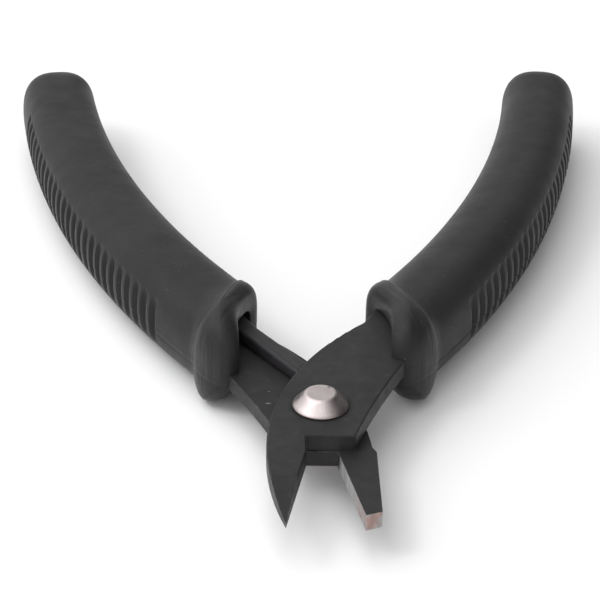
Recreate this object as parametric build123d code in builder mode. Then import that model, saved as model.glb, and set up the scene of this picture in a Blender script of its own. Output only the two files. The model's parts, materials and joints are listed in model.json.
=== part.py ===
"""Flush cutter: a by-pass micro shear of two stamped plates that cross at one rivet.

Frame, in millimetres: the pivot axis is +Z, the grips lie towards +Y and the jaws towards -Y.
The origin is the centre of the flat on the rivet's back head. The tool stands open, as its
spring holds it. The upper plate runs from the right grip to the left, pointed jaw, and the
lower plate from the left grip to the right, blunt jaw. They slide on each other in the shear
plane, which holds both cutting edges.
"""

from build123d import *
from math import cos, degrees, radians, sin, tan
import os

# Stamped plates
plate_thickness = 2.4
slide_gap = 0.04  # oil film between the plates, and under the rivet's head
edge_break = 0.25  # rounding that the stamping leaves along an outer edge

# Back edge of a plate: one arc above the heel and one below it, both upright at the heel
heel = (-7.6, -10.9)
back_edge_radius = 44.3
back_edge_rise = 32.85  # height of the tang's throat above the heel
jaw_edge_radius = 50.6

# Front edge of a plate: the notch between the jaws, then the outer edge of the tang
notch_corner = (4.4, -7.6)
notch_corner_radius = 0.5
outer_edge_middle = (9.1, 4.9)

# Jaws
pointed_jaw_tip = (-5.4, -25.66)
pointed_jaw_root = (-2.3, -11.1)
pointed_jaw_corner = (-2.24, -7.4)
tip_thickness = 0.7
tip_thinning_length = 8.6
blunt_jaw_corner = (2.05, -7.8)
blunt_jaw_tip = (5.05, -22.77)
blunt_jaw_end = (7.24, -21.97)
blunt_jaw_shoulder = (7.24, -7.9)
blunt_jaw_heel = (6.7, -6.8)
blunt_jaw_lean = 6.0  # degrees that the ground face leans out below its cutting edge

# Rivet
shank_diameter = 5.0
running_clearance = 0.04  # radial, in the upper plate, which turns on the shank
head_diameter = 7.75
head_flat_diameter = 4.3
head_height = 1.95
back_head_diameter = 7.0
back_head_height = 1.2
back_head_chamfer = 0.5

# Grips: the axis of the right one is an arc that starts at the middle of its collar
collar_centre = (12.1, 21.8)
grip_heading = 35.0  # degrees from +Y to the axis at the collar
grip_axis_radius = 153.0
grip_length = 83.0  # from the collar's middle to the far end, along the axis
grip_width_at_collar = 13.9
grip_width_at_end = 11.4
grip_thickness = 12.8
grip_edge_radius = 4.6
grip_end_corner_radius = 5.5

# Collar: a rounded guard plate set askew on the grip, thin at its inner end
collar_skew = 31.2  # degrees from square to the axis
collar_width = 18.4
collar_height = 14.2
collar_corner_radius = 5.5
collar_shift = 0.7  # outwards, from the grip's axis
collar_back = 1.9  # from its middle plane back to the grip
collar_front_inner = 2.3  # from its middle plane to its front, at the inner end
collar_front_outer = 6.0
collar_edge_radius = 1.8
grip_start_lead = 3.3  # how far the grip's inner side starts behind the collar's middle

# Serration: grooves across the outer side of a grip
groove_count = 25
groove_pitch = 2.44
groove_width = 1.3
groove_depth = 0.7
first_groove = 9.6  # from the collar's middle, along the axis

# How a tang sits in its grip
tang_width_at_mouth = 10.2
tang_width_at_end = 7.0
tang_depth = 54.0  # from the collar's middle to the tang's end
tang_end_radius = 2.0
side_clearance = 0.05
mouth_clearance = 0.7
mouth_height = 7.0
mouth_depth = 3.0  # from the collar's middle, into the grip

# Return spring: a bar beside the upper plate, from the left grip to the upper plate's back edge
spring_width = 2.7
spring_thickness = 1.9
spring_lift = 0.15  # above the lower plate
spring_bend = (-9.45, 20.8)
spring_bend_radius = 12.0
spring_aim = (-1.1, 8.87)  # inside the upper plate, so that the tip can be cut to its edge
spring_tip_gap = 0.1
spring_depth = 18.0  # from the collar's middle to the spring's end in the grip
spring_tail_offset = 3.3  # from the grip's axis
spring_edge_radius = 0.4
spring_slot_clearance = 0.1

# Heights of the layers
shear_height = back_head_height + plate_thickness + slide_gap / 2
lower_plate_base = back_head_height
upper_plate_base = shear_height + slide_gap / 2
upper_plate_top = upper_plate_base + plate_thickness
head_base = upper_plate_top + slide_gap
spring_base = lower_plate_base + plate_thickness + spring_lift
shear_plane = Plane.XY.offset(shear_height)

# The throat is where a tang's back edge enters the collar's mouth
throat = (
    heel[0] + back_edge_radius - (back_edge_radius**2 - back_edge_rise**2) ** 0.5,
    heel[1] + back_edge_rise,
)


def on_axis(along, across=0.0):
    """A point of the right grip's plan: along the axis from the collar, and out from it."""
    start = radians(grip_heading)
    centre_x = collar_centre[0] - grip_axis_radius * cos(start)
    centre_y = collar_centre[1] + grip_axis_radius * sin(start)
    heading = start - along / grip_axis_radius
    reach = grip_axis_radius + across
    return (centre_x + reach * cos(heading), centre_y - reach * sin(heading))


def heading_at(along):
    """Degrees from +Y to the right grip's axis."""
    return grip_heading - degrees(along / grip_axis_radius)


def grip_half_width(along):
    """Half the grip's width at a distance along its axis."""
    share = along / grip_length
    return (grip_width_at_collar + (grip_width_at_end - grip_width_at_collar) * share) / 2


def flip(point):
    """The same point on the other side of the tool."""
    return (-point[0], point[1])


# The collar's middle plane faces the jaws, and its front is tilted towards the outer end
collar_heading = radians(grip_heading + collar_skew)
collar_outwards = Vector(cos(collar_heading), -sin(collar_heading), 0)
collar_forwards = Vector(-sin(collar_heading), -cos(collar_heading), 0)
collar_plane = Plane(
    origin=Vector(*collar_centre, shear_height) + collar_outwards * collar_shift,
    x_dir=collar_outwards,
    z_dir=collar_forwards,
)
collar_growth = (collar_front_outer - collar_front_inner) / collar_width
collar_front_plane = Plane(
    origin=collar_plane.origin + collar_forwards * (collar_front_inner + collar_front_outer) / 2,
    x_dir=Vector(0, 0, 1),
    z_dir=collar_forwards - collar_outwards * collar_growth,
)


def tang_edges():
    """The part of a plate's outline that lies in the right grip, from its outer edge round
    to the throat. It belongs inside a BuildLine block of its own."""
    mouth, tip = tang_width_at_mouth / 2, tang_width_at_end / 2
    middle = (mouth + tip) / 2
    with BuildLine() as edges:
        outer = ThreePointArc(
            on_axis(0, mouth), on_axis(tang_depth / 2, middle), on_axis(tang_depth, tip)
        )
        end = Line(outer @ 1, on_axis(tang_depth, -tip))
        inner = ThreePointArc(
            end @ 1, on_axis(tang_depth / 2, -middle), on_axis(grip_start_lead, -mouth)
        )
        Line(inner @ 1, throat)
    return edges.line


def pointed_plate():
    """Plan of the plate with the pointed jaw: left jaw, right tang."""
    with BuildSketch() as plan:
        with BuildLine():
            Line(pointed_jaw_tip, pointed_jaw_root)
            Line(pointed_jaw_root, pointed_jaw_corner)
            Line(pointed_jaw_corner, notch_corner)
            ThreePointArc(notch_corner, outer_edge_middle, on_axis(0, tang_width_at_mouth / 2))
            add(tang_edges())
            RadiusArc(throat, heel, -back_edge_radius)
            RadiusArc(heel, pointed_jaw_tip, -jaw_edge_radius)
        make_face()
        fillet(plan.vertices().group_by(Axis.Y)[-1], tang_end_radius)
        fillet(plan.vertices().sort_by_distance(notch_corner)[0], notch_corner_radius)
    return plan.sketch


def blunt_plate():
    """Plan of the plate with the blunt jaw: right jaw, left tang."""
    outer_mouth = flip(on_axis(0, tang_width_at_mouth / 2))
    with BuildSketch() as plan:
        with BuildLine():
            Line(blunt_jaw_tip, blunt_jaw_corner)
            Line(blunt_jaw_corner, flip(notch_corner))
            ThreePointArc(flip(notch_corner), flip(outer_edge_middle), outer_mouth)
            mirror(tang_edges(), about=Plane.YZ)
            RadiusArc(flip(throat), blunt_jaw_heel, back_edge_radius)
            Line(blunt_jaw_heel, blunt_jaw_shoulder)
            Line(blunt_jaw_shoulder, blunt_jaw_end)
            Line(blunt_jaw_end, blunt_jaw_tip)
        make_face()
        fillet(plan.vertices().group_by(Axis.Y)[-1], tang_end_radius)
        fillet(plan.vertices().sort_by_distance(flip(notch_corner))[0], notch_corner_radius)
    return plan.sketch


def spring_path():
    """Middle line of the return spring, from its tail in the left grip to its aim."""
    tail = flip(on_axis(spring_depth, -spring_tail_offset))
    with BuildLine(Plane.XY.offset(spring_base + spring_thickness / 2)) as path:
        FilletPolyline(tail, spring_bend, spring_aim, radius=spring_bend_radius)
    return path.line


def spring_bar(growth=0.0):
    """The bar along the spring's path, larger all round by growth."""
    path = spring_path()
    with BuildPart() as bar:
        with BuildSketch(Plane(origin=path @ 0, x_dir=(0, 0, 1), z_dir=path % 0)):
            RectangleRounded(
                spring_thickness + 2 * growth,
                spring_width + 2 * growth,
                spring_edge_radius + growth,
            )
        sweep(path=path)
    return bar.part


def grip_blank():
    """The right grip's outer shape: handle, collar and serration, with no cavity."""
    half = grip_thickness / 2
    near, far, middle = grip_half_width(0), grip_half_width(grip_length), grip_length / 2
    with BuildPart() as blank:
        with BuildSketch(shear_plane) as plan:
            with BuildLine():
                outer = ThreePointArc(
                    on_axis(-grip_start_lead, near),
                    on_axis(middle, grip_half_width(middle)),
                    on_axis(grip_length, far),
                )
                end = Line(outer @ 1, on_axis(grip_length, -far))
                inner = ThreePointArc(
                    end @ 1,
                    on_axis(middle, -grip_half_width(middle)),
                    on_axis(grip_start_lead, -near),
                )
                Line(inner @ 1, outer @ 0)
            make_face()
            far_corners = plan.vertices().sort_by_distance(on_axis(grip_length))[:2]
            fillet(far_corners, grip_end_corner_radius)
        extrude(amount=half, both=True)
        rims = blank.edges().group_by(Axis.Z)[0] + blank.edges().group_by(Axis.Z)[-1]
        start_edge = Vector(*on_axis(0), shear_height)
        fillet(rims.sort_by_distance(start_edge)[2:], grip_edge_radius)
    with BuildPart() as collar:
        with BuildSketch(collar_plane.offset(-collar_back)):
            RectangleRounded(collar_width, collar_height, collar_corner_radius)
        extrude(amount=collar_back + collar_front_outer)
        split(bisect_by=collar_front_plane, keep=Keep.BOTTOM)
        end_faces = collar.faces().sort_by(Axis(collar_plane.origin, collar_plane.z_dir))
        fillet(end_faces[0].edges() + end_faces[-1].edges(), collar_edge_radius)
    with BuildPart() as grip:
        add(blank.part)
        add(collar.part)
        for number in range(groove_count):
            along = first_groove + number * groove_pitch
            foot = on_axis(along, grip_half_width(along))
            with Locations(Location((*foot, shear_height), (0, 0, -heading_at(along)))):
                Box(2 * groove_depth, groove_width, grip_thickness, mode=Mode.SUBTRACT)
    return grip.part


def mouth_plan(plate, side):
    """Plan of the flared mouth: the tang with room round it, up to its depth in the grip."""
    with BuildSketch() as plan:
        add(plate)
        offset(amount=mouth_clearance)
        inmost = on_axis(mouth_depth)
        with Locations((side * inmost[0], inmost[1])):
            Rectangle(
                grip_length,
                grip_length,
                rotation=-side * grip_heading,
                align=(Align.CENTER, Align.MAX),
                mode=Mode.INTERSECT,
            )
    return plan.sketch


def tang_plan(plate):
    """Plan of the cavity that a tang is pushed into."""
    with BuildSketch() as plan:
        add(plate)
        offset(amount=side_clearance)
    return plan.sketch


os.makedirs("parts", exist_ok=True)

# Lower plate: the cutting edge is the upper edge of the ground face
with BuildPart() as lower_blade_lever:
    with BuildSketch(Plane.XY.offset(lower_plate_base)):
        add(blunt_plate())
        Circle(shank_diameter / 2, mode=Mode.SUBTRACT)
    extrude(amount=plate_thickness)
    under_edges = lower_blade_lever.faces().sort_by(Axis.Z)[0].outer_wire().edges()
    ground_corner = (*blunt_jaw_tip, lower_plate_base)
    fillet(under_edges.sort_by_distance(ground_corner)[2:], edge_break)
    foot = plate_thickness * tan(radians(blunt_jaw_lean))
    edge_length = (Vector(*blunt_jaw_tip) - Vector(*blunt_jaw_corner)).length
    face_plane = Plane(
        origin=(*blunt_jaw_tip, lower_plate_base + plate_thickness),
        x_dir=(0, 0, -1),
        z_dir=(
            blunt_jaw_corner[0] - blunt_jaw_tip[0],
            blunt_jaw_corner[1] - blunt_jaw_tip[1],
            0,
        ),
    )
    with BuildSketch(face_plane):
        with BuildLine():
            Polyline((0, 0), (plate_thickness, 0), (plate_thickness, -foot), (0, 0))
        make_face()
    extrude(amount=edge_length)
lower_blade_lever.part.label = "lower_blade_lever"
export_step(lower_blade_lever.part, "parts/lower_blade_lever.step")

# Upper plate: the cutting edge is the lower edge of the pointed jaw's inner side
with BuildPart() as upper_blade_lever:
    with BuildSketch(Plane.XY.offset(upper_plate_base)):
        add(pointed_plate())
        Circle(shank_diameter / 2 + running_clearance, mode=Mode.SUBTRACT)
    extrude(amount=plate_thickness)
    thinning_start = pointed_jaw_tip[1] + tip_thinning_length
    thinning = Plane(
        origin=(0, thinning_start, upper_plate_top),
        x_dir=(1, 0, 0),
        z_dir=(0, -(plate_thickness - tip_thickness), tip_thinning_length),
    )
    split(bisect_by=thinning, keep=Keep.BOTTOM)
    top_face = upper_blade_lever.faces().sort_by(Axis.Z)[-1]
    fillet(top_face.outer_wire().edges().filter_by(Axis.X, reverse=True), edge_break)
upper_blade_lever.part.label = "upper_blade_lever"
export_step(upper_blade_lever.part, "parts/upper_blade_lever.step")

# Rivet: pressed in the lower plate, with a coned head above and a flat one behind
with BuildPart() as pivot_rivet:
    with BuildSketch(Plane.XZ):
        with BuildLine():
            Polyline(
                (0, 0),
                (back_head_diameter / 2 - back_head_chamfer, 0),
                (back_head_diameter / 2, back_head_chamfer),
                (back_head_diameter / 2, back_head_height),
                (shank_diameter / 2, back_head_height),
                (shank_diameter / 2, head_base),
                (head_diameter / 2, head_base),
                (head_flat_diameter / 2, head_base + head_height),
                (0, head_base + head_height),
                close=True,
            )
        make_face()
    revolve(axis=Axis.Z)
pivot_rivet.part.label = "pivot_rivet"
export_step(pivot_rivet.part, "parts/pivot_rivet.step")

# Return spring: its tip is cut parallel to the edge that it pushes on
with BuildPart() as return_spring:
    add(spring_bar())
    with BuildSketch(Plane.XY):
        add(pointed_plate())
        offset(amount=spring_tip_gap)
    extrude(amount=upper_plate_top + head_height, mode=Mode.SUBTRACT)
return_spring.part.label = "return_spring"
export_step(return_spring.part, "parts/return_spring.step")

# Grips: one moulding, turned over for the other side
with BuildPart() as right_grip:
    add(grip_blank())
    with BuildSketch(shear_plane):
        add(mouth_plan(pointed_plate(), 1))
    extrude(amount=mouth_height / 2, both=True, mode=Mode.SUBTRACT)
    with BuildSketch(Plane.XY.offset(upper_plate_base)):
        add(tang_plan(pointed_plate()))
    extrude(amount=plate_thickness, mode=Mode.SUBTRACT)
right_grip.part.label = "right_grip"
export_step(right_grip.part, "parts/right_grip.step")

with BuildPart() as left_grip:
    add(mirror(grip_blank(), about=Plane.YZ))
    with BuildSketch(shear_plane):
        add(mouth_plan(blunt_plate(), -1))
    extrude(amount=mouth_height / 2, both=True, mode=Mode.SUBTRACT)
    with BuildSketch(Plane.XY.offset(lower_plate_base)):
        add(tang_plan(blunt_plate()))
    extrude(amount=plate_thickness, mode=Mode.SUBTRACT)
    add(spring_bar(spring_slot_clearance), mode=Mode.SUBTRACT)
left_grip.part.label = "left_grip"
export_step(left_grip.part, "parts/left_grip.step")
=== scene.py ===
"""Looks of the flush cutter: moulded grips, blackened plates, plated rivet and return spring.

Lengths are written in millimetres and turned into metres by MM. Heights are counted from the
shear plane, in which the two plates slide on each other.
"""

import json
from math import cos, hypot, pi, radians, sin

import bpy
import numpy as np
from mathutils import Matrix, Vector


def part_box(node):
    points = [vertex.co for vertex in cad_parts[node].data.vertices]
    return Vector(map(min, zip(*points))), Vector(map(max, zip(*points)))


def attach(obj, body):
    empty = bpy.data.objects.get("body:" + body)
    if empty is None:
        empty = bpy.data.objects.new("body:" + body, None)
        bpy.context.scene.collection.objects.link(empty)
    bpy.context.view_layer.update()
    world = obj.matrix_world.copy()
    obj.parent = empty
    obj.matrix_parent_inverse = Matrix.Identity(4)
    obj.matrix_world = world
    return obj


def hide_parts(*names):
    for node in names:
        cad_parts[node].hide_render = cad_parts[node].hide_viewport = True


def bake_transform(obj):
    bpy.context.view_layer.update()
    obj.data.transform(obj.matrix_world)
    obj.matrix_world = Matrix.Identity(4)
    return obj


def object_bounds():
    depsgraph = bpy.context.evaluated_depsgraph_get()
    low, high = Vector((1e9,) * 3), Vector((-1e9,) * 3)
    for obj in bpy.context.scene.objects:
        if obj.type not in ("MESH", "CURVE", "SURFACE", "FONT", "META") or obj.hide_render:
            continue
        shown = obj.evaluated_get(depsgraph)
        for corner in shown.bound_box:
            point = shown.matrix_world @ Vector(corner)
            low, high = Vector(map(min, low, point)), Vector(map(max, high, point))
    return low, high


MM = 0.001

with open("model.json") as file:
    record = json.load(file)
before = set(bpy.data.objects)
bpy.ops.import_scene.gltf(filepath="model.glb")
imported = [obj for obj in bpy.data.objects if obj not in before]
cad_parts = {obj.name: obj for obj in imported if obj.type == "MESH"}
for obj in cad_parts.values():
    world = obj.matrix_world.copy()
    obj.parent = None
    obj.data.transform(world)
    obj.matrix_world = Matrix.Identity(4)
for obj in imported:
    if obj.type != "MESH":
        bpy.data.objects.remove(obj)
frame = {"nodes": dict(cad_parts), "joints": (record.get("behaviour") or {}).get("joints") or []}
cad_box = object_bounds()
pivot = Vector(frame["joints"][0]["pos_m"])
shear = pivot.z / MM
upper_plate_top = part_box("upper_blade_lever")[1].z / MM - shear

# Grip: the axis of the right one is an arc that starts at the middle of its collar
collar_centre = (12.1, 21.8)
axis_heading = radians(35.0)
axis_radius = 153.0
grip_length = 83.0
half_width_at_collar = 6.95
half_width_at_end = 5.7
half_height = 6.4
section_power = 2.65
end_rounding = 6.2
end_power = 2.2
body_step = 0.2  # between the loops of the body
skew_fading = 14.0  # length over which the loops turn square to the axis

# Collar: a ring set askew on the grip, thin at its inner end and a fat bulb at its outer end
collar_skew = radians(31.2)
collar_half_width = 9.2
collar_half_height = 7.1
collar_power = 3.1
collar_shift = 0.65  # outwards, of the ring on the body
front_inner = {1: 1.8, -1: 1.25}  # from the collar's middle plane to the front, inner end
front_slope = 0.45  # of the front, forwards towards the outer end
front_bend = 1.2  # length over which the level front bends into the sloping one
front_bend_shift = 0.4  # of the bend, outwards, in lengths of the bend
front_rounding = 2.2  # how far back the rounding of the rim's front reaches
front_rounding_below = 2.0  # more in the lower outer corner
back_reach = 1.5
back_reach_growth = 1.2  # more at the outer end
back_growth_below = 0.5  # share by which that grows again in the lower outer corner
back_squareness = 2.2
rim_rounding = 1.95
rim_rounding_below = 1.4  # more in the lower outer corner
crease_softness = 0.25
mouth_inner = 5.2
mouth_outer = 6.9
mouth_half_height = {1: 3.0, -1: 2.65}  # lower on the left, where the spring comes out
mouth_power = 4.0
mouth_depth = 7.0
mouth_taper = 0.06  # share by which the mouth's bottom is narrower
dish_depth = 0.3

# Where the two halves of the mould met, the lower one stands back a little
parting_step = 0.14
parting_groove = 0.22
parting_width = 0.22
parting_drop = 1.3  # below the shear plane
parting_on_body = {1: 0.9, -1: 0.3}
parting_on_collar = 0.3

# Serration
groove_count = 25
groove_pitch = 2.44
first_groove = 9.6
groove_width = 1.5
groove_floor = 0.64  # share of the width that is flat
groove_depth = 0.7

# Return spring: a bar that bends once and whose tip is cut to the upper plate's back edge
spring_width = 2.7
spring_bend = (-9.45, 20.8)
spring_bend_radius = 12.0
spring_aim = (-1.1, 8.87)
spring_tip_gap = 0.1
spring_depth = 18.0
spring_tail_offset = 3.3
spring_edge_radius = 0.45
spring_tip_rounding = 0.25
spring_tip_shrink = 0.16
back_edge_radius = 44.3
back_edge_centre = (36.7, -10.9)

# Rivet
head_radius = 3.875
head_flat_radius = 2.15
head_height = 1.95
head_rim = 0.10  # upright band under the cone
head_crown = 0.30  # height of the rounding between cone and flat
shank_radius = 2.5
back_head_radius = 3.5
back_head_height = 1.2
back_head_rounding = 0.54

grip_points = 240  # round each loop of a grip
gathering = 0.30  # how far the points are drawn to the corners of the section
rivet_points = 128


def on_axis(along, across):
    """Plan point on the right grip: along the axis from the collar, and out from it."""
    centre_x = collar_centre[0] - axis_radius * cos(axis_heading)
    centre_y = collar_centre[1] + axis_radius * sin(axis_heading)
    heading = axis_heading - along / axis_radius
    reach = axis_radius + across
    return centre_x + reach * np.cos(heading), centre_y - reach * np.sin(heading)


def smooth_step(value, low, high):
    """0 up to the low value and 1 from the high one, eased between them."""
    share = np.clip((value - low) / (high - low), 0.0, 1.0)
    return share * share * (3 - 2 * share)


def soft_max(a, b, softness):
    """The larger of two values, rounded over where they meet."""
    gap = np.abs(a - b) / softness
    return np.maximum(a, b) + softness * np.exp(-gap) * 0.5


def polar_section(turn, half_wide, half_high, power):
    """Radius of a superellipse at each polar angle."""
    wide = np.abs(np.cos(turn)) / half_wide
    high = np.abs(np.sin(turn)) / half_high
    return (wide**power + high**power) ** (-1 / power)


def body_half_width(along):
    """Half the width of the grip's body, which narrows towards the far end."""
    share = along / grip_length
    return half_width_at_collar + (half_width_at_end - half_width_at_collar) * share


def body_radius(turn, along, skew):
    """Radius of the grip's body in a plane turned by skew from square to the axis."""
    half_wide = body_half_width(along) / cos(skew)
    return polar_section(turn, half_wide, half_height, section_power)


def groove_profile(along):
    """0 on a rib and 1 at the bottom of a groove."""
    step = (along - first_groove) / groove_pitch
    nearest = np.clip(np.round(step), 0, groove_count - 1)
    off = np.abs(step - nearest) * groove_pitch
    return 1 - smooth_step(off, groove_floor * groove_width / 2, groove_width / 2)


def grip_loops(side):
    """Closed loops of (x, y, z) from the bottom of the mouth, over the collar, to the far end."""
    turn = np.linspace(0, 2 * pi, grip_points, endpoint=False)
    turn = turn - gathering * np.sin(2 * turn)
    rise = (half_width_at_collar * np.sin(turn) + parting_drop) / parting_width
    parting_line = parting_step * (np.tanh(rise) - 1) / 2 - parting_groove * np.exp(-(rise**2))
    loops = []

    def add_loop(along, skew, radius, lead=0.0, grooved=False):
        """A loop in a skewed plane through the axis; lead moves it towards the jaws."""
        radius = radius + parting_line * (parting_on_body[side] if grooved else parting_on_collar)
        across = radius * np.cos(turn) * cos(skew)
        forward = along - radius * np.cos(turn) * sin(skew) - lead * cos(skew)
        across = across - lead * sin(skew)
        if grooved:
            cut = np.minimum(across, body_half_width(forward) - groove_depth)
            across = across + (cut - across) * groove_profile(forward)
        x, y = on_axis(forward, across)
        loops.append(np.column_stack([x, y, shear + radius * np.sin(turn)]))

    rim = polar_section(turn, collar_half_width, collar_half_height, collar_power)
    rim = rim + collar_shift * np.cos(turn)
    mouth_wide = np.where(np.cos(turn) > 0, mouth_outer, mouth_inner)
    mouth = polar_section(turn, mouth_wide, mouth_half_height[side], mouth_power)

    def front(radius):
        """Reach of the collar's front, from its middle plane towards the jaws."""
        outwards = np.log1p(np.exp(radius * np.cos(turn) / front_bend - front_bend_shift))
        return front_inner[side] + front_slope * front_bend * outwards

    # Mouth, from its bottom to its edge
    for share in np.linspace(1, 0, 12):
        width = mouth * (1 - mouth_taper * share)
        lead = (front(mouth) - dish_depth) * (1 - share)
        add_loop(mouth_depth * share, collar_skew, width, lead=lead)
    # Front face, from the mouth's edge to the crest of the rim; below is 1 in the lower outer corner
    below = smooth_step(-np.sin(turn), 0.05, 0.6) * smooth_step(np.cos(turn), -0.3, 0.4)
    rounding = rim_rounding + rim_rounding_below * below
    crest = rim - rounding
    for share in np.linspace(0, 1, 16)[1:]:
        radius = mouth + (crest - mouth) * share
        dish = dish_depth * (1 - share) ** 2
        add_loop(0, collar_skew, radius, lead=front(radius) - dish)
    # Rounded front of the rim
    shoulder = front(crest) - front_rounding - front_rounding_below * below
    for angle in np.linspace(0, pi / 2, 18)[1:]:
        radius = rim - rounding * (1 - sin(angle))
        lead = shoulder + (front(crest) - shoulder) * cos(angle)
        add_loop(0, collar_skew, radius, lead=lead)
    # Rounded back of the rim, running into the body
    outer_above = np.maximum(np.cos(turn), 0) ** 3
    outer_below = smooth_step(np.cos(turn), -0.1, 0.8)
    outer = np.where(np.sin(turn) < 0, outer_below, outer_above)
    reach = back_reach + back_reach_growth * outer * (1 + back_growth_below * below)
    for share in np.linspace(0, 1, 34)[1:]:
        along = reach * share / cos(collar_skew)
        rim_now = rim - rounding * (1 - (1 - share**back_squareness) ** (1 / back_squareness))
        body = body_radius(turn, along, collar_skew)
        section = soft_max(rim_now, body, crease_softness)
        add_loop(along, collar_skew, section, lead=shoulder * (1 - share))
    # Body, whose loops turn square to the axis
    start = (back_reach + (1 + back_growth_below) * back_reach_growth) / cos(collar_skew)
    for along in np.arange(start + body_step, grip_length - end_rounding, body_step):
        skew = collar_skew * (1 - smooth_step(along, start, start + skew_fading))
        add_loop(along, skew, body_radius(turn, along, skew), grooved=True)
    # Rounded end
    for angle in np.linspace(0, pi / 2, 24)[:-1]:
        along = grip_length - end_rounding + end_rounding * sin(angle) ** (2 / end_power)
        add_loop(along, 0, body_radius(turn, along, 0) * cos(angle) ** (2 / end_power))
    return loops


def round_bar(half_wide, half_high, radius, per_corner=6):
    """Outline of a rounded rectangle as (across, up) pairs."""
    outline = []
    for corner in range(4):
        x = (half_wide - radius) * (1 if corner in (0, 3) else -1)
        y = (half_high - radius) * (1 if corner in (0, 1) else -1)
        for angle in np.linspace(0, pi / 2, per_corner) + corner * pi / 2:
            outline.append((x + radius * cos(angle), y + radius * sin(angle)))
    return np.array(outline)


def spring_loops():
    """Closed loops along the return spring, from its tail in the left grip to its cut tip."""
    tail = np.array(on_axis(spring_depth, -spring_tail_offset)) * np.array([-1, 1])
    bend, aim = np.array(spring_bend), np.array(spring_aim)
    first = (bend - tail) / hypot(*(bend - tail))
    last = (aim - bend) / hypot(*(aim - bend))
    turned = np.arctan2(first[0] * last[1] - first[1] * last[0], first @ last)
    tangent = spring_bend_radius * np.tan(abs(turned) / 2)
    corner_start, corner_end = bend - first * tangent, bend + last * tangent
    low, high = (corner.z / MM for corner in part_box("return_spring"))
    outline = round_bar(spring_width / 2, (high - low) / 2, spring_edge_radius)
    across, up = outline[:, 0], outline[:, 1]
    loops = []

    def add_section(point, direction, reach=0.0, shrink=0.0):
        """The bar's outline square to a direction; reach moves its points along, one by one."""
        side_way = np.array([direction[1], -direction[0]])
        wide = across * (1 - shrink)
        plan = point + np.outer(wide, side_way) + np.outer(reach * np.ones(len(wide)), direction)
        loops.append(np.column_stack([plan, up * (1 - shrink) + (low + high) / 2]))

    for share in np.linspace(0, 1, 8)[:-1]:
        add_section(tail + (corner_start - tail) * share, first)
    inwards = np.array([-first[1], first[0]]) * np.sign(turned)
    centre = corner_start + inwards * spring_bend_radius
    for share in np.linspace(0, 1, 18)[:-1]:
        angle = turned * share
        turn = np.array([[cos(angle), -sin(angle)], [sin(angle), cos(angle)]])
        add_section(centre + turn @ (corner_start - centre), turn @ first)
    # Straight part: each fibre runs to the edge that the tip pushes on
    side_way = np.array([last[1], -last[0]])
    from_centre = corner_end + np.outer(across, side_way) - np.array(back_edge_centre)
    along = from_centre @ last
    stop = (back_edge_radius + spring_tip_gap) ** 2
    length = -along - np.sqrt(along**2 - (np.sum(from_centre**2, axis=1) - stop))
    for share in np.linspace(0, 1, 48):
        add_section(corner_end, last, (length - spring_tip_rounding) * share)
    for angle in np.linspace(0, pi / 2, 6)[1:]:
        reach = length - spring_tip_rounding * (1 - sin(angle))
        add_section(corner_end, last, reach, spring_tip_shrink * (1 - cos(angle)))
    return loops


def rivet_loops():
    """Closed loops up the rivet: back head, shank and coned head with rounded edges."""
    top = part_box("pivot_rivet")[1].z / MM
    seat = top - head_height
    profile = [(0.6, 0), (back_head_radius - 0.5, 0), (back_head_radius - 0.36, 0.04)]
    profile += [(back_head_radius - 0.04, 0.40), (back_head_radius, back_head_rounding)]
    profile += [(back_head_radius, back_head_height), (shank_radius, back_head_height)]
    profile += [(shank_radius, seat), (head_radius - head_rim / 2, seat)]
    profile.append((head_radius, seat + head_rim))
    # Cone
    slope = (head_flat_radius - head_radius) / (head_height - head_rim)
    for rise in np.linspace(0.22, head_height - 0.34, 14):
        profile.append((head_radius + slope * (rise - head_rim), seat + rise))
    # Rounding from the cone to the flat
    for share in np.linspace(0.15, 1, 8):
        radius = head_flat_radius + 0.30 - 0.62 * share
        profile.append((radius, top - head_crown * (1 - share) ** 1.8))
    # Flat
    for radius in np.linspace(head_flat_radius - 0.4, 0.15, 8):
        profile.append((radius, top))
    turn = np.linspace(0, 2 * pi, rivet_points, endpoint=False)
    return [
        np.column_stack([r * np.cos(turn), r * np.sin(turn), np.full(len(turn), z)])
        for r, z in profile
    ]


def loft(name, loops, flip=False):
    """A mesh object through loops of the same number of points, closed at both ends."""
    count = len(loops[0])
    verts = np.concatenate(loops) * MM
    faces = []
    for row in range(len(loops) - 1):
        for i in range(count):
            j = (i + 1) % count
            a, b = row * count, (row + 1) * count
            faces.append((a + i, a + j, b + j, b + i))
    verts = list(map(tuple, verts))
    verts.append(tuple(np.mean(loops[0], axis=0) * MM))
    faces += [((i + 1) % count, i, len(verts) - 1) for i in range(count)]
    last = (len(loops) - 1) * count
    verts.append(tuple(np.mean(loops[-1], axis=0) * MM))
    faces += [(last + i, last + (i + 1) % count, len(verts) - 1) for i in range(count)]
    if flip:
        faces = [tuple(reversed(face)) for face in faces]
    mesh = bpy.data.meshes.new(name)
    mesh.from_pydata(verts, [], faces)
    mesh.validate()
    mesh.shade_smooth()
    piece = bpy.data.objects.new(name, mesh)
    bpy.context.scene.collection.objects.link(piece)
    return piece


# ---------------------------------------------------------------- materials


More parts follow.
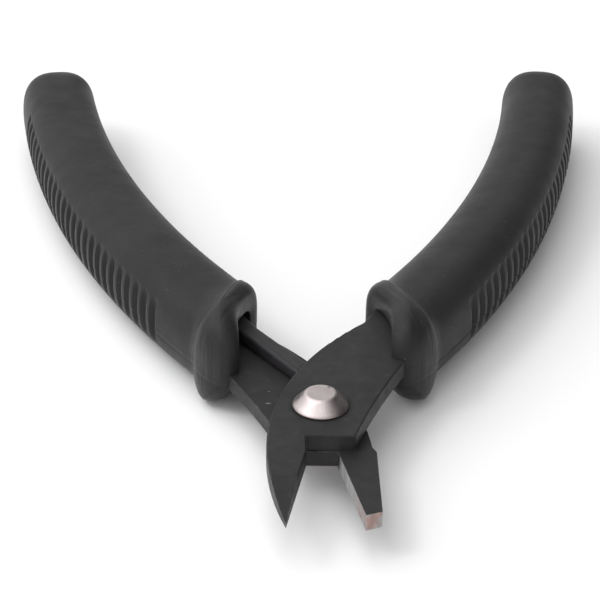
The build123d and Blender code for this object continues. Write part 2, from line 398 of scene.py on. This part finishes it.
class Nodes:
    """A material's node tree, with short calls to add to it."""

    def __init__(self, name):
        self.material = bpy.data.materials.new(name)
        self.material.use_nodes = True
        self.tree = self.material.node_tree
        self.shader = self.tree.nodes["Principled BSDF"]
        self.place = self.add("ShaderNodeTexCoord").outputs["Object"]

    def feed(self, socket, value):
        """A link into the socket where the value is another node's, else the plain value."""
        if isinstance(value, bpy.types.NodeSocket):
            self.tree.links.new(value, socket)
        else:
            socket.default_value = value

    def add(self, kind, inputs=None, **settings):
        node = self.tree.nodes.new(kind)
        for key, value in settings.items():
            setattr(node, key, value)
        for key, value in (inputs or {}).items():
            self.feed(node.inputs[key], value)
        return node

    def noise(self, scale, detail=3.0, roughness=0.5, place=None):
        inputs = {"Vector": place or self.place, "Scale": scale, "Detail": detail}
        inputs["Roughness"] = roughness
        return self.add("ShaderNodeTexNoise", inputs).outputs["Fac"]

    def split(self, vector):
        return self.add("ShaderNodeSeparateXYZ", {"Vector": vector}).outputs

    def join(self, x, y, z):
        return self.add("ShaderNodeCombineXYZ", {"X": x, "Y": y, "Z": z}).outputs["Vector"]

    def scaled(self, value, factor):
        return self.math("MULTIPLY", value, factor)

    def ramp(self, value, low, high, to_low=0.0, to_high=1.0):
        inputs = {"Value": value, "From Min": low, "From Max": high}
        inputs.update({"To Min": to_low, "To Max": to_high})
        return self.add("ShaderNodeMapRange", inputs).outputs["Result"]

    def math(self, operation, a, b=0.0):
        return self.add("ShaderNodeMath", {0: a, 1: b}, operation=operation).outputs[0]

    def mix(self, factor, a, b):
        """Colour a where the factor is 0 and colour b where it is 1."""
        inputs = {"Factor": factor, 6: a, 7: b}
        return self.add("ShaderNodeMix", inputs, data_type="RGBA").outputs[2]

    def distance(self, off_x, off_y):
        squares = self.math("ADD", self.math("POWER", off_x, 2.0), self.math("POWER", off_y, 2.0))
        return self.math("SQRT", squares)

    def bump(self, height, strength, distance, normal=None):
        inputs = {"Height": height, "Strength": strength, "Distance": distance}
        if normal is not None:
            inputs["Normal"] = normal
        return self.add("ShaderNodeBump", inputs).outputs["Normal"]

    def set(self, **values):
        """The shader's own inputs, with _ for each space in a name."""
        for key, value in values.items():
            self.feed(self.shader.inputs[key.replace("_", " ")], value)


def grey(level, warm=1.0):
    """A grey, or a reddish one where warm is over 1."""
    return (level * warm, level, level, 1)


def rubber_material():
    """Matte black moulded rubber: clouds, grain, dust, moulding ripples round the collar and painted
    highlight streaks along them.
    """
    n = Nodes("grip_rubber")
    x, y, z = n.split(n.place)
    clouds = n.ramp(n.noise(55, 5, 0.6), 0.32, 0.68)
    colour = n.mix(clouds, grey(0.0155), grey(0.0225))
    # Distance in front of the collar's middle plane, the same on both grips
    facing = axis_heading + collar_skew
    out_x = n.math("SUBTRACT", n.math("ABSOLUTE", x), collar_centre[0] * MM)
    out_y = n.math("SUBTRACT", y, collar_centre[1] * MM)
    lead = n.math("ADD", n.scaled(out_x, -sin(facing)), n.scaled(out_y, -cos(facing)))
    near = n.ramp(n.math("ABSOLUTE", n.math("ADD", lead, 0.4 * MM)), 3.8 * MM, 1.2 * MM)
    ripple_and_highlight_lines = n.noise(1.0, 3, 0.55, n.join(n.scaled(lead, 950), n.scaled(y, 70), n.scaled(z, 90)))
    # Painted highlight: the colour is lightened in streaks along the ripple lines near the collar
    highlight_streaks = n.math("MULTIPLY", n.ramp(ripple_and_highlight_lines, 0.60, 0.72), near)
    colour = n.mix(n.scaled(highlight_streaks, 0.45), colour, grey(0.055))
    specks = n.ramp(n.noise(2300, 1), 0.755, 0.80)
    colour = n.mix(n.scaled(specks, 0.7), colour, grey(0.11))
    rubbed = n.ramp(n.noise(24, 3), 0.55, 0.72)
    roughness = n.ramp(n.noise(260, 5, 0.6), 0.3, 0.7, 0.46, 0.60)
    polish = n.math("MAXIMUM", n.scaled(rubbed, 0.5), near)
    roughness = n.math("SUBTRACT", roughness, n.scaled(polish, 0.13))
    fine = n.bump(n.noise(2600, 3, 0.6), 0.30, 0.00010)
    broad = n.bump(n.noise(190, 3), 0.16, 0.0007, fine)
    ripples = n.bump(n.math("MULTIPLY", ripple_and_highlight_lines, near), 0.40, 0.0005, broad)
    n.set(Base_Color=colour, Roughness=roughness, Normal=ripples)
    n.set(Specular_IOR_Level=0.20, Sheen_Weight=0.05, Sheen_Roughness=0.45)
    return n.material


def ground_faces(n, colour, flat, grounds):
    """Bare steel on the ground faces, with marks across them and heat tint towards the tip.

    Each of grounds is the direction, on the piece itself, that a ground face looks in, and the
    y, in millimetres, from which it is ground.
    """
    x, y, z = n.split(n.place)
    facing = n.add("ShaderNodeVectorTransform", {"Vector": flat})
    facing.vector_type = "NORMAL"
    facing.convert_from = "WORLD"
    facing.convert_to = "OBJECT"
    bare = 0.0
    for ground, begin in grounds:
        inputs = {0: facing.outputs["Vector"], 1: Vector(ground).normalized()}
        look = n.add("ShaderNodeVectorMath", inputs, operation="DOT_PRODUCT")
        on_jaw = n.ramp(y, begin * MM, (begin - 0.8) * MM)
        face = n.math("MULTIPLY", n.ramp(look.outputs["Value"], 0.86, 0.95), on_jaw)
        bare = n.math("MAXIMUM", bare, face)
    marks = n.noise(1.0, 4, 0.6, n.join(n.scaled(x, 400), n.scaled(y, 2600), n.scaled(z, 240)))
    tint = n.ramp(n.noise(500, 3), 0.38, 0.60)
    tint = n.math("MULTIPLY", tint, n.ramp(y, -16 * MM, -22 * MM))
    bright = n.mix(tint, grey(0.42), (0.46, 0.31, 0.28, 1))
    share = n.math("MULTIPLY", bare, n.ramp(marks, 0.3, 0.6, 0.5, 0.95))
    n.set(Metallic=n.scaled(bare, 0.55))
    return n.mix(share, colour, bright)


def steel_material(name, grounds=()):
    """Black oxide on stamped steel, worn along its edges and bare on its ground faces."""
    n = Nodes(name)
    x, y = n.split(n.place)[:2]
    clouds = n.ramp(n.noise(170, 6, 0.62), 0.3, 0.7)
    colour = n.mix(clouds, grey(0.0175), grey(0.0260))
    blotches = n.ramp(n.noise(700, 3), 0.60, 0.72)
    colour = n.mix(n.scaled(blotches, 0.35), colour, grey(0.042, 1.02))
    # Edges, where the rounded normal parts from the flat one
    flat = n.add("ShaderNodeNewGeometry").outputs["Normal"]
    rounded = n.add("ShaderNodeBevel", {"Radius": 0.00022}, samples=6).outputs["Normal"]
    bend = n.add("ShaderNodeVectorMath", {0: flat, 1: rounded}, operation="DOT_PRODUCT")
    edge = n.ramp(bend.outputs["Value"], 0.985, 0.86)
    worn = n.math("MULTIPLY", edge, n.ramp(n.noise(620, 4, 0.65), 0.42, 0.60))
    colour = n.mix(n.scaled(worn, 0.75), colour, grey(0.13))
    # Painted contact shade: a dark ring on the plate round the rivet's head
    from_ring = n.math("ABSOLUTE", n.math("SUBTRACT", n.distance(x, y), 4.0 * MM))
    ring = n.ramp(from_ring, 0.55 * MM, 0.12 * MM)
    colour = n.mix(n.scaled(ring, 0.7), colour, grey(0.007))
    if grounds:
        colour = ground_faces(n, colour, flat, grounds)
    # Two chips in the oxide beside the rivet
    for place_x, place_y, size in [(-6.78, 7.45, 0.20), (-6.95, 4.36, 0.34)]:
        off_x = n.scaled(n.math("SUBTRACT", x, place_x * MM), 0.7)
        off_y = n.scaled(n.math("SUBTRACT", y, place_y * MM), 1.8)
        ragged = n.scaled(n.noise(1300, 3, 0.7), 0.9 * MM)
        from_chip = n.math("ADD", n.distance(off_x, off_y), ragged)
        chip = n.ramp(from_chip, (size + 0.45) * MM, (size + 0.25) * MM)
        colour = n.mix(chip, colour, grey(0.30))
    roughness = n.ramp(n.noise(520, 5, 0.6), 0.3, 0.7, 0.40, 0.56)
    roughness = n.math("SUBTRACT", roughness, n.scaled(worn, 0.10))
    grain = n.bump(n.noise(2800, 4, 0.6), 0.32, 0.00007)
    pits = n.bump(n.noise(420, 3), 0.14, 0.0002, grain)
    n.set(Base_Color=colour, Roughness=roughness, Normal=pits)
    n.set(Specular_IOR_Level=0.22)
    return n.material


def plated_material():
    """Satin nickel on the rivet, turned on a lathe, with dull stains, painted shade round the base
    of the head, and one dark nick.
    """
    n = Nodes("plated_steel")
    x, y, z = n.split(n.place)
    clouds = n.ramp(n.noise(600, 4, 0.6), 0.3, 0.7)
    colour = n.mix(clouds, (0.52, 0.455, 0.455, 1), (0.61, 0.55, 0.545, 1))
    turned = n.math("ARCTAN2", y, x)
    radius = n.distance(x, y)
    brushing = n.noise(1.0, 3, 0.6, n.join(n.scaled(turned, 22), n.scaled(radius, 300), z))
    colour = n.mix(n.ramp(brushing, 0.55, 0.75, 0.0, 0.35), colour, (0.36, 0.30, 0.31, 1))
    # Painted shade: the colour darkens in a band round the base of the head, where it meets the
    # plate
    painted_base_shade = n.ramp(radius, 3.55 * MM, 3.86 * MM)
    colour = n.mix(n.scaled(painted_base_shade, 0.55), colour, (0.16, 0.12, 0.12, 1))
    off_x = n.math("SUBTRACT", x, 1.15 * MM)
    off_y = n.math("SUBTRACT", y, 1.35 * MM)
    nick = n.ramp(n.distance(off_x, off_y), 0.34 * MM, 0.18 * MM)
    colour = n.mix(n.scaled(nick, 0.7), colour, (0.20, 0.16, 0.16, 1))
    roughness = n.ramp(n.noise(900, 4), 0.3, 0.7, 0.30, 0.44)
    grain = n.bump(brushing, 0.25, 0.00008)
    n.set(Base_Color=colour, Roughness=roughness, Normal=grain, Metallic=1.0)
    return n.material


def spring_material():
    """Blued flat spring steel with faint lengthwise drawing lines."""
    n = Nodes("spring_steel")
    x, y, z = n.split(n.place)
    across = n.math("ADD", n.scaled(x, 0.82), n.scaled(y, 0.573))
    lines = n.noise(1.0, 3, 0.6, n.join(n.scaled(across, 3200), n.scaled(y, 120), n.scaled(z, 900)))
    colour = n.mix(n.ramp(lines, 0.35, 0.65), grey(0.020), (0.030, 0.027, 0.031, 1))
    specks = n.ramp(n.noise(1900, 2), 0.70, 0.78)
    colour = n.mix(n.scaled(specks, 0.5), colour, grey(0.10))
    roughness = n.ramp(n.noise(600, 4), 0.3, 0.7, 0.38, 0.52)
    n.set(Base_Color=colour, Roughness=roughness, Normal=n.bump(lines, 0.3, 0.00006))
    n.set(Specular_IOR_Level=0.26)
    return n.material


def paint(piece, material):
    """The material on every face of a piece."""
    if not piece.material_slots:
        piece.data.materials.append(material)
    for slot in piece.material_slots:
        slot.material = material


# ---------------------------------------------------------------- pieces


def make_grip(name, body, material, side):
    """A whole grip in one moulding: side is 1 for the right one and -1 for the left one."""
    loops = grip_loops(side)
    if side < 0:
        loops = [loop * np.array([-1, 1, 1]) for loop in loops]
    piece = loft(name + "_moulding", loops, flip=side > 0)
    paint(piece, material)
    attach(piece, body)
    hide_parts(name)


def make_rivet(material):
    """The rivet is pressed in the lower plate and stays with it."""
    piece = loft("pivot_rivet_turned", rivet_loops())
    paint(piece, material)
    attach(piece, "lower")
    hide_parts("pivot_rivet")


def make_spring(material):
    """The bar, built in place with its transform baked into the mesh; it is attached to neither
    body.
    """
    loops = spring_loops()
    piece = loft("return_spring_bar", loops)
    paint(piece, material)
    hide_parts("return_spring")
    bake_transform(piece)


# Directions that the ground faces look in, and the y where they begin
lower_grounds = [((-1, -0.2, -0.1), -8.6), ((0.35, -1, 0), -20.0)]

rubber = rubber_material()
make_grip("right_grip", "upper", rubber, 1)
make_grip("left_grip", "lower", rubber, -1)
paint(frame["nodes"]["lower_blade_lever"], steel_material("lower_steel", lower_grounds))
paint(frame["nodes"]["upper_blade_lever"], steel_material("upper_steel"))
make_rivet(plated_material())
make_spring(spring_material())


# ---------------------------------------------------------------- floor, light and camera


def make_floor(height):
    """A pale floor under the tool."""
    mesh = bpy.data.meshes.new("floor")
    reach = 3.0
    corners = [(-reach, -reach, height), (reach, -reach, height)]
    corners += [(reach, reach, height), (-reach, reach, height)]
    mesh.from_pydata(corners, [], [(0, 1, 2, 3)])
    floor = bpy.data.objects.new("floor", mesh)
    bpy.context.scene.collection.objects.link(floor)
    n = Nodes("pale_floor")
    n.set(Base_Color=grey(0.96), Roughness=0.9, Specular_IOR_Level=0.2)
    paint(floor, n.material)


def make_light(name, place, aim, size, power):
    """A round soft lamp that looks at a point."""
    light = bpy.data.lights.new(name, "AREA")
    light.shape = "DISK"
    light.size = size
    light.energy = power
    lamp = bpy.data.objects.new(name, light)
    lamp.location = place
    lamp.rotation_euler = (Vector(aim) - Vector(place)).to_track_quat("-Z", "Y").to_euler()
    bpy.context.scene.collection.objects.link(lamp)


def make_world():
    """Soft light all round, with a dark screen to the right and behind the tool."""
    world = bpy.data.worlds.new("studio")
    world.use_nodes = True
    nodes, links = world.node_tree.nodes, world.node_tree.links
    direction = nodes.new("ShaderNodeTexCoord").outputs["Generated"]
    towards = nodes.new("ShaderNodeVectorMath")
    towards.operation = "DOT_PRODUCT"
    links.new(direction, towards.inputs[0])
    towards.inputs[1].default_value = Vector((0.83, 0.30, 0.42)).normalized()
    fade = nodes.new("ShaderNodeMapRange")
    fade.interpolation_type = "SMOOTHSTEP"
    fade.inputs["From Min"].default_value = 0.35
    fade.inputs["From Max"].default_value = 0.93
    fade.inputs["To Min"].default_value = 0.93
    fade.inputs["To Max"].default_value = 0.06
    links.new(towards.outputs["Value"], fade.inputs["Value"])
    nodes["Background"].inputs["Color"].default_value = (1, 1, 1, 1)
    links.new(fade.outputs["Result"], nodes["Background"].inputs["Strength"])
    bpy.context.scene.world = world


def make_camera():
    """A long lens above the jaws, looking along the tool towards the grips."""
    distance = 0.400
    elevation = radians(30.3)
    turn = radians(2.3)
    roll = radians(0.95)
    aim_left, aim_up = 0.0028, 0.0142
    forward = Vector((sin(turn) * cos(elevation), cos(turn) * cos(elevation), -sin(elevation)))
    level = Vector((cos(turn), -sin(turn), 0))
    upright = level.cross(forward)
    right = level * cos(roll) + upright * sin(roll)
    up = upright * cos(roll) - level * sin(roll)
    middle = pivot + Vector((0, 0, upper_plate_top * MM))
    aim = middle - right * aim_left + up * aim_up
    camera = bpy.data.cameras.new("camera")
    camera.lens = 177.6
    camera.sensor_width = 36
    camera.clip_end = 10
    holder = bpy.data.objects.new("camera", camera)
    facing = Matrix((right, up, -forward)).transposed().to_4x4()
    holder.matrix_world = Matrix.Translation(aim - forward * distance) @ facing
    bpy.context.scene.collection.objects.link(holder)
    bpy.context.scene.camera = holder


make_floor(cad_box[0][2])
make_world()
make_light("key", (-0.40, 0.10, 0.80), (0, 0.04, 0), 1.3, 4.2)
make_light("spark", (-0.50, -0.12, 0.70), (0, 0.02, 0), 0.22, 0.9)
make_light("front", (-0.05, -0.55, 0.75), (0, 0.02, 0), 0.7, 0.6)
make_camera()
bpy.context.scene.view_settings.view_transform = "Standard"
